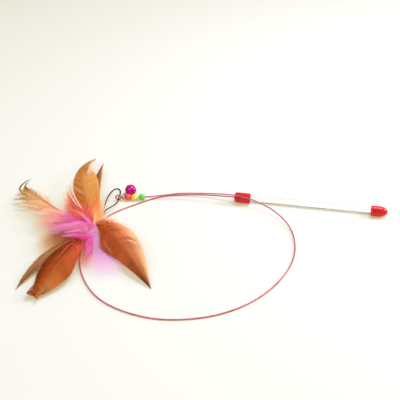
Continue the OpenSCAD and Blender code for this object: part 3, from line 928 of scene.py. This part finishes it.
RIGHT_WISPS = [
    wisp(26, 1.1, 0.4, (-229.5, -70, 3.5), (-227.5, -68, 6), (-224, -66.5, 7), (-220, -67, 7.5), tone=0.35),
    wisp(10, 0.8, 0.24, (-222, -66, 8), (-219, -61, 8), (-212, -56, 6), slot=3),
    wisp(10, 0.7, 0.24, (-219, -67, 8.5), (-214, -62, 8), (-206, -59, 6), slot=3),
    wisp(9, 0.7, 0.24, (-214, -68, 9), (-209, -65, 8), (-202, -63, 6), slot=3),
    wisp(6, 0.3, 0.2, (-199, -81, 8), (-194, -83.5, 7.5), (-189, -87, 6.5), (-185, -93, 5)),
    wisp(
        8, 0.35, 0.26, (-197.6, -85.9, 8.5), (-194, -87.3, 8.5), (-190.4, -88.6, 8), (-187, -91, 7.5),
        slot=3,
    ),
    wisp(
        8, 0.4, 0.24, (-220.8, -65.6, 9), (-217, -63.9, 9.5), (-213, -62.8, 9.5), (-209.1, -63.3, 9),
        slot=3,
    ),
    wisp(8, 0.5, 0.22, (-218.4, -70.7, 9.5), (-214.7, -69, 10), (-210.7, -68, 10), (-206.4, -68.6, 9.5)),
    wisp(
        8, 0.5, 0.22, (-217.1, -75.3, 9.5), (-213.5, -73.3, 10), (-209.5, -72.3, 10), (-204.3, -73.1, 9.5),
    ),
    wisp(6, 0.3, 0.2, (-217, -87, 6), (-212, -94, 5.5), (-206, -101, 4.5)),
]
TOP_WISPS = [
    wisp(
        14, 0.4, 0.3, (-250, -50, 9), (-254, -45, 9), (-262, -34.5, 9), (-267, -26, 8.8), (-270, -19, 8.4),
        (-271, -11, 8), slot=3,
    ),
    wisp(
        12, 0.35, 0.3, (-244.5, -53, 9.5), (-248.5, -49.5, 9.7), (-258.5, -34.5, 9.7), (-264, -24, 9.6),
        (-267, -14, 9), slot=3,
    ),
    wisp(10, 0.8, 0.2, (-255, -50, 7), (-264, -42, 7.5), (-268, -34, 7.5), (-270, -26, 7), (-271, -18, 6)),
]

FEATHERS = [
    dict(
        node="feather_right", length=88,
        path=[(0.23, -0.10, 0.10), (0.475, -0.42, 0.06), (0.71, -0.685, -0.061)], root=(15, 58),
        widths=(0.17, 0.13), bare=0.015, peak=0.32, rise=0.32, fall=1.05, sweep=0.1, roll=(-15, -5),
        camber=0.16, seed=1, locks=(TIDY, TIDY),
        fullness=(FULL, [(0, 1), (0.06, 1.45), (0.2, 1.38), (0.4, 1.14), (0.65, 1.06), (1, 1)]),
        strays=[(-1, 0.05, 0.3, 12, 1.2, 0), (-1, 0.4, 0.6, 4, 1.05, 0)], ruffs=RIGHT_RUFFS,
        wisps=RIGHT_WISPS,
    ),
    dict(
        node="feather_top", length=112, path=[(-0.085, 0.21, 0.10), (-0.39, 0.59, 0.09), (-0.27, 0.95, 0)],
        root=(132, 44), widths=(0.103, 0.126), bare=0.02, peak=0.42, rise=0.6, fall=1, sweep=0.14,
        roll=(5, 10), camber=0.2, seed=2, locks=(TIDY, TIDY),
        fullness=(
            [(0, 1), (0.15, 0.95), (0.3, 0.8), (0.6, 0.82), (0.8, 0.95), (0.92, 1.5), (1, 1.3)],
            [(0, 1), (0.6, 1), (0.7, 0.72), (0.78, 0.55), (0.88, 0.75), (0.95, 1.4), (1, 1.3)],
        ),
        strays=[(-1, 0.3, 0.6, 8, 1.1, 0), (1, 0.62, 0.86, 120, 0.95, 0.36)], wisps=TOP_WISPS,
    ),
    dict(
        node="feather_under", length=100, path=[(-0.03, 0.30, 0.04), (-0.19, 0.75, 0.02), (-0.21, 1, 0)],
        root=(88, 58), widths=(0.04, 0.03), bare=0.12, peak=0.4, rise=0.8, fall=1, sweep=0.12, roll=(0, 0),
        camber=0.2, seed=3, locks=(TIDY, TIDY),
        fullness=(
            [(0, 0.25), (0.5, 0.25), (0.62, 1.5), (0.8, 1.35), (1, 1)],
            [(0, 0.25), (0.55, 0.25), (0.7, 0.6), (1, 0.8)],
        ),
    ),
    dict(
        node="feather_left", length=92,
        path=[(-0.39, 0.11, 0.06), (-0.64, 0.29, 0.045), (-0.88, 0.55, -0.045)], root=(155, 12),
        hook=(0.88, -130, 4.6), widths=(0.207, 0.098), bare=0.05, peak=0.5, rise=0.8, fall=0.9, sweep=0.2,
        roll=(-5, 0), camber=0.12, seed=4, locks=(FINGERS, TIDY),
        fullness=(
            [(0, 1), (0.8, 1), (0.86, 0.5), (0.9, 0.4), (0.93, 0.12), (1, 0.05)],
            [(0, 0.1), (0.45, 0.2), (0.62, 0.45), (0.8, 1), (0.88, 0.6), (0.93, 0.12), (1, 0.05)],
        ),
        strays=[(1, 0.4, 0.84, 90, 0.95, 0.2)], wisps=LEFT_WISPS,
    ),
    dict(
        node="feather_front", length=86,
        path=[(-0.09, -0.39, 0.10), (-0.17, -0.74, 0.04), (-0.24, -1, -0.03)], root=(-106, 24),
        widths=(0.18, 0.151), bare=0.05, peak=0.42, rise=0.7, fall=0.7, sweep=0.14, roll=(0, 0),
        camber=0.22, seed=5, locks=(TIDY, TIDY),
        fullness=([(0, 0.5), (0.25, 0.65), (0.5, 0.95), (1, 1)], [(0, 1.05), (0.7, 1.1), (1, 1)]),
        ruffs=FRONT_RUFFS, wisps=FRONT_WISPS,
    ),
    dict(
        node="feather_back", length=86,
        path=[(-0.22, -0.23, 0.01), (-0.39, -0.56, 0.01), (-0.45, -0.92, -0.0625)], root=(-134, -8),
        widths=(0.081, 0.058), bare=0.2, peak=0.45, rise=0.8, fall=1.1, sweep=0.12, roll=(0, 0),
        camber=0.15, seed=6, locks=(SOFT, SOFT), strays=[(1, 0.3, 0.5, 6, 1.2, 0)],
    ),
]

# Down: each fan has its own reach by turn, in millimetres from the bound head, and its own heights
PINK_CORE = dict(
    seed=11, locks=230, strands=6,
    reach=[(138, 36), (150, 40), (180, 40), (200, 39), (215, 35), (226, 27), (240, 22), (268, 15)],
    share=(0.45, 1.05), tip_z=(2, 6.5), bend=(-0.06, 0.06), root=(160, 290), climb=(-10, 60), width=0.26,
)
PINK_VEIL = dict(
    seed=12, locks=230, slot=1,
    reach=[
        (136, 36), (144, 43), (155, 46), (164, 49), (192, 49), (204, 42), (216, 36), (228, 28), (250, 20),
    ],
    share=(0.75, 1.05), tip_z=(0, 6), arch=(0.5, 3), root=(150, 250), climb=(-10, 60), loose=4, width=0.2,
)
PINK_OVER = dict(
    seed=21, locks=170,
    reach=[(205, 36), (216, 34), (226, 31), (238, 28), (250, 24), (262, 21), (276, 18), (288, 12)],
    tip_z=(8, 11), arch=(0.5, 2.5), root=(200, 300), climb=(20, 80),
)
PINK_NEAR = dict(
    seed=23, locks=110, slot=1,
    reach=[(214, 30), (228, 29), (242, 28), (256, 26), (270, 25), (284, 23), (298, 17)], tip_z=(9, 11.5),
    arch=(1, 3), root=(120, 300), climb=(30, 85),
)
PEACH_VEIL = dict(
    seed=13, locks=80, strands=6, slot=2, reach=[(160, 36), (167, 54), (174, 58), (180, 54), (187, 44)],
    share=(0.75, 1.05), tip_z=(5, 7), arch=(-1, 0.5), bend=(-0.05, 0.08), root=(140, 190), climb=(0, 30),
    width=0.26,
)
TAN_VEIL = dict(
    seed=22, locks=36, strands=6, slot=3, reach=[(170, 62), (178, 62), (186, 58), (193, 50)],
    share=(0.75, 1.05), tip_z=(1, 4), arch=(-1, 0.5), bend=(-0.05, 0.05), root=(150, 190), climb=(0, 30),
)
LILAC = dict(
    seed=14, locks=520,
    reach=[(-92, 16), (-82, 34), (-74, 54), (-66, 66), (-58, 66), (-51, 60), (-44, 52), (-38, 36)],
    share=(0.6, 1.08), tip_z=(-2.7, -0.6), arch=(0, 2), root=(-100, -40), climb=(-38, 0), loose=4,
    width=0.22,
)
LILAC_NEAR = dict(
    seed=24, locks=130, reach=[(-102, 22), (-92, 32), (-82, 40), (-74, 44), (-66, 30), (-58, 14)],
    share=(0.5, 1.05), tip_z=(2.5, 6.5), root=(-130, -40), climb=(0, 60), width=0.22,
)
CORAL = dict(
    seed=15, locks=110,
    reach=[(-112, 18), (-104, 30), (-96, 46), (-90, 58), (-84, 60), (-79, 46), (-74, 20)],
    share=(0.45, 1.05), tip_z=(-2, 2), bend=(-0.05, 0.05), root=(-130, -50), climb=(-10, 50), loose=2.5,
)
RUSTY_STRAYS = dict(
    seed=16, locks=50, strands=4, slot=1, reach=[(-146, 26), (-136, 36), (-124, 44), (-110, 44), (-98, 38)],
    share=(0.6, 1.05), tip_z=(7.5, 9.5), arch=(0, 2), bend=(-0.12, 0.12), root=(-150, -90), climb=(0, 50),
)
TAN_FLUFF = dict(
    seed=17, locks=200, strands=6, slot=2,
    reach=[(-168, 40), (-154, 50), (-142, 55), (-128, 50), (-118, 34)], share=(0.6, 1.05), tip_z=(-3, 1),
    arch=(0, 2), bend=(-0.1, 0.1), root=(-180, -110), climb=(-40, 0), loose=4, width=0.22,
)
SALMON = dict(
    seed=18, locks=260, strands=6,
    reach=[
        (158, 24), (151, 34), (145, 43), (139, 49), (134, 56), (130, 62), (125, 56), (118, 40), (108, 28),
    ],
    share=(0.55, 1.03), tip_z=(4, 8), arch=(1, 3), bend=(0.02, 0.14), root=(110, 190), climb=(10, 70),
    loose=2, width=0.26,
)
CREAM = dict(
    seed=19, locks=150, slot=1,
    reach=[(70, 12), (79, 20), (86, 27), (92, 38), (98, 52), (106, 50), (116, 36)], share=(0.45, 1.05),
    tip_z=(2.8, 5), arch=(0.5, 2), bend=(-0.06, 0.06), root=(-120, 160), climb=(45, 88), width=0.26,
)

# Bundles that lie over the bound head, where the down and the feathers meet
PINK_WISPS = [
    wisp(
        90, 2.6, 0.34, (-231.5, -70.5, 6.5), (-231, -74.5, 5.6), (-230, -78, 4.4), (-229, -81, 3.5), slot=1,
    ),
    wisp(
        60, 1.5, 0.3, (-228.6, -77, 2.5), (-231, -72.5, 6), (-236, -66.5, 7.5), (-243, -60, 8),
        (-251, -53, 7.5), slot=1,
    ),
    wisp(70, 1.9, 0.3, (-228.6, -77, 3), (-234, -76.5, 7.5), (-242, -77.5, 9.5), (-252, -80, 9.5), slot=0),
    wisp(70, 1.9, 0.3, (-228.6, -77, 3), (-233, -80, 7.5), (-240, -84, 9.8), (-249, -88, 10.2), slot=0),
    wisp(50, 1.8, 0.3, (-228.6, -77, 3), (-233, -74, 7.5), (-240, -71, 8.5), (-250, -70, 8.5), slot=0),
    wisp(
        4, 0.3, 0.3, (-229, -77, 5), (-234, -79.5, 9), (-241, -83.5, 10.4), (-247, -86, 10.6),
        (-245, -89, 10.6), (-238, -88, 10), slot=1,
    ),
    wisp(
        80, 2.4, 0.24, (-226.2, -87, 10), (-232.4, -90.7, 11), (-240.5, -91.4, 11), (-249.2, -93, 10.5),
        slot=0,
    ),
]
CORAL_WISPS = [
    wisp(60, 1.7, 0.3, (-228.8, -76.5, 3), (-228.5, -83, 5), (-228.5, -92, 4), (-228, -102, 2), slot=3),
    wisp(
        60, 2.3, 0.22, (-227, -87.1, 9), (-225.9, -94.1, 7.5), (-225.5, -99.9, 5), (-225.9, -106.3, 2),
        slot=3,
    ),
]
LILAC_WISPS = [
    wisp(90, 2.2, 0.3, (-228.6, -76.5, 3), (-226.5, -82, 4.2), (-224.5, -90, 3), (-222, -99, 0)),
]
ORANGE_WISPS = [
    wisp(
        60, 1.3, 0.3, (-229, -76, 2.5), (-229.8, -71.5, 5.6), (-231, -65, 6.6), (-233, -57, 6),
        (-236, -46, 5.5), slot=1,
    ),
]


# The object

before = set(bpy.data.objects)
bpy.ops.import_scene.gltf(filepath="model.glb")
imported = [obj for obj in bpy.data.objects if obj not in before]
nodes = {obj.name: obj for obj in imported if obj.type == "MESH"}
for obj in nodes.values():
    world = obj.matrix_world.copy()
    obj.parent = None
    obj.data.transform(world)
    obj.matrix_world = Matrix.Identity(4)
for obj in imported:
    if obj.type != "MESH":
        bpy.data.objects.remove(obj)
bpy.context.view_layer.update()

make_camera()
black = fibre("black_elastic", (12, 10, 8), (26, 22, 18), 0.6, 0.02)
pink = coated_wire()
make_cord("pink_wire", WIRE_ROUTE, WIRE_D, pink, "handle", "wire")
make_cord("black_elastic", ELASTIC_ROUTE, ELASTIC_D, black, "lure", "elastic_loop")

make_lights()
make_world()
make_floor()

red = vinyl()
magenta = painted_metal("bell_magenta", (168, 0, 104), (222, 0, 156), 0.16)
lilac = painted_metal("bell_lilac", (196, 90, 170), (228, 140, 200), 0.25)
steel = bare_metal("steel", (170, 168, 164), (208, 206, 202), 0.3)
brass = bare_metal("crimp", (190, 160, 120), (226, 200, 160), 0.32)
FINISHES = {
    "handle_tube": clear_plastic(),
    "front_cap": red, "rear_cap": red, "wire_anchor": steel, "end_eye": pink, "eye_crimp": brass,
    "bead_green": bead_plastic("bead_green", (66, 196, 70), (96, 226, 90)),
    "bead_yellow": bead_plastic("bead_yellow", (250, 232, 84), (255, 246, 130)),
    "bead_red": bead_plastic("bead_red", (238, 40, 32), (255, 88, 66)),
    "bell_top": magenta, "bell_bottom": magenta, "bell_shank": lilac, "bell_ring": lilac,
    "bell_ball": steel,
}
for name, mat in FINISHES.items():
    nodes[name].data.materials.clear()
    nodes[name].data.materials.append(mat)

make_knot(fibre("knot", (104, 78, 56), (142, 108, 80)))
make_binding(fibre("thread", (196, 84, 70), (226, 112, 92)))

quill = fibre("quill", (206, 134, 66), (216, 146, 78), 0.6, 0.05)
dark_quill = fibre("dark_quill", (182, 84, 38), (196, 98, 50), 0.6, 0.05)
cream_barb = down_barbs("cream_barb", (0, 250, 170, 130), (0.3, 254, 226, 200), (1, 255, 246, 232))
white_barb = down_barbs(
    "white_barb", (0, 255, 206, 180), (0.25, 255, 240, 230), (1, 255, 250, 244), streak=0.03,
)
peach_barb = down_barbs("peach_barb", (0, 206, 110, 62), (0.5, 238, 160, 112), (1, 252, 212, 170))
orange_barb = down_barbs("orange_barb", (0, 226, 104, 66), (0.5, 226, 124, 74), (1, 214, 130, 76))
umber_barb = down_barbs(
    "umber_barb", (0, 216, 160, 96), (0.4, 196, 136, 62), (1, 164, 136, 74), streak=0.3,
)
rust = barbs(
    "feather_rust",
    [
        (0, 248, 132, 60), (0.06, 234, 112, 40), (0.14, 216, 100, 38), (0.3, 224, 120, 70),
        (0.6, 222, 134, 86), (0.85, 196, 118, 72), (1, 112, 62, 38),
    ],
    [
        (0, 186, 72, 12), (0.3, 194, 88, 38), (0.6, 196, 92, 46), (0.8, 160, 84, 34), (0.92, 112, 56, 22),
        (1, 90, 50, 28),
    ],
    (254, 204, 156, 1.3, 0.35), (206, 108, 60, 0.4, 0.6),
)
tan = barbs(
    "feather_tan",
    [
        (0, 255, 164, 120), (0.12, 246, 150, 100), (0.25, 228, 122, 58), (0.4, 216, 138, 54),
        (0.8, 218, 152, 70), (1, 216, 176, 108),
    ],
    [
        (0, 255, 184, 122), (0.15, 244, 150, 88), (0.25, 236, 152, 80), (0.35, 232, 162, 86),
        (0.5, 232, 168, 90), (0.6, 232, 170, 92), (0.74, 206, 142, 62), (0.86, 208, 154, 78),
        (1, 216, 176, 108),
    ],
    (232, 188, 140, 0.35, 0.8), (250, 204, 144, 0.4, 0.8),
)
dark = barbs(
    "feather_dark",
    [(0, 240, 150, 90), (0.5, 214, 140, 74), (0.7, 172, 116, 74), (0.9, 186, 136, 98), (1, 176, 150, 128)],
    [
        (0, 250, 176, 110), (0.5, 230, 160, 90), (0.7, 222, 166, 122), (0.9, 232, 186, 148),
        (1, 196, 170, 150),
    ],
    (150, 90, 50, 0.3, 0.6), (240, 200, 160, 0.4, 0.6),
)
beige = barbs(
    "feather_beige",
    [
        (0, 250, 158, 152), (0.25, 250, 176, 148), (0.5, 240, 184, 132), (0.75, 228, 182, 122),
        (0.88, 176, 124, 66), (1, 96, 66, 30),
    ],
    [
        (0, 252, 176, 164), (0.3, 246, 190, 158), (0.5, 236, 192, 138), (0.75, 226, 182, 124),
        (0.88, 156, 104, 46), (1, 110, 86, 50),
    ],
    (250, 226, 190, 0.5, 0.6), (246, 226, 170, 0.7, 0.5),
)
brown = barbs(
    "feather_brown",
    [
        (0, 250, 116, 130), (0.12, 250, 108, 92), (0.26, 224, 92, 62), (0.4, 204, 90, 50),
        (0.52, 184, 86, 36), (0.7, 190, 102, 42), (0.88, 194, 116, 62), (1, 176, 96, 44),
    ],
    [
        (0, 240, 96, 100), (0.15, 176, 56, 40), (0.3, 150, 52, 24), (0.45, 172, 76, 30), (0.8, 184, 84, 26),
        (1, 160, 80, 30),
    ],
    (196, 92, 40, 0.35, 0.8), (142, 58, 16, 1.6, 0.3), through=0.12,
)
olive = barbs(
    "feather_olive", [(0, 226, 176, 132), (0.4, 198, 142, 98), (0.8, 166, 110, 70), (1, 130, 84, 62)],
    [(0, 226, 176, 132), (0.4, 196, 138, 92), (0.8, 176, 116, 74), (1, 150, 100, 76)],
    (150, 110, 70, 0.4, 0.6), (216, 176, 140, 0.5, 0.6),
)
for spec, mats, slot in zip(
    FEATHERS,
    (
        [rust, dark_quill, peach_barb, cream_barb],
        [tan, quill, cream_barb, white_barb],
        [dark, quill, cream_barb],
        [beige, quill, cream_barb, umber_barb, white_barb],
        [brown, dark_quill, orange_barb],
        [olive, quill, peach_barb],
    ),
    ("feather_rust", "feather_tan", "feather_dark", "feather_beige", "feather_rust", "feather_tan"),
):
    make_vane(spec["node"] + "_barbs", spec, mats, slot)

hot = down_barbs(
    "down_pink", (0, 255, 176, 236), (0.35, 255, 122, 208), (1, 255, 190, 226), streak=0.12, through=0.55,
)
pale_pink = down_barbs(
    "down_pale_pink", (0, 255, 166, 234), (0.5, 255, 170, 226), (1, 255, 220, 240), through=0.6,
)
peach = down_barbs(
    "down_peach", (0, 255, 120, 180), (0.45, 255, 150, 170), (0.65, 255, 198, 184), (1, 255, 222, 204),
)
tan_down = down_barbs(
    "down_pale_tan", (0, 255, 140, 180), (0.5, 255, 186, 170), (0.8, 250, 212, 160), (1, 252, 232, 200),
)
pale_lilac = down_barbs(
    "down_lilac", (0, 255, 196, 255), (0.3, 255, 234, 255), (1, 255, 240, 255), streak=0.03, through=0.8,
)
coral = down_barbs(
    "down_coral", (0, 255, 156, 220), (0.45, 255, 138, 184), (1, 252, 150, 150), through=0.6,
)
rusty = down_barbs(
    "down_rust", (0, 255, 110, 160), (0.35, 250, 100, 120), (0.6, 206, 84, 60), (1, 236, 142, 92),
    streak=0.3,
)
fluff = down_barbs("down_tan", (0, 240, 150, 124), (0.5, 226, 170, 120), (1, 232, 196, 150), streak=0.05)
salmon = down_barbs(
    "down_salmon", (0, 255, 120, 160), (0.35, 255, 136, 120), (0.75, 252, 156, 120), (1, 254, 200, 168),
    streak=0.2,
)
cream = down_barbs("down_cream", (0, 255, 184, 124), (0.35, 254, 204, 142), (1, 254, 230, 178))
pink_fans = [PINK_CORE, PINK_VEIL, PINK_OVER, PEACH_VEIL, TAN_VEIL, PINK_NEAR]
front_fans = [CORAL, RUSTY_STRAYS, TAN_FLUFF]
front_mats = [coral, rusty, fluff, hot]
make_down("down_left", pink_fans, [hot, pale_pink, peach, tan_down], "down_pink", PINK_WISPS)
make_down("down_right", [LILAC, LILAC_NEAR], [pale_lilac], "down_lilac", LILAC_WISPS)
make_down("down_front", front_fans, front_mats, "down_pink", CORAL_WISPS)
make_down("down_top", [SALMON, CREAM], [salmon, cream], "down_salmon", ORANGE_WISPS)
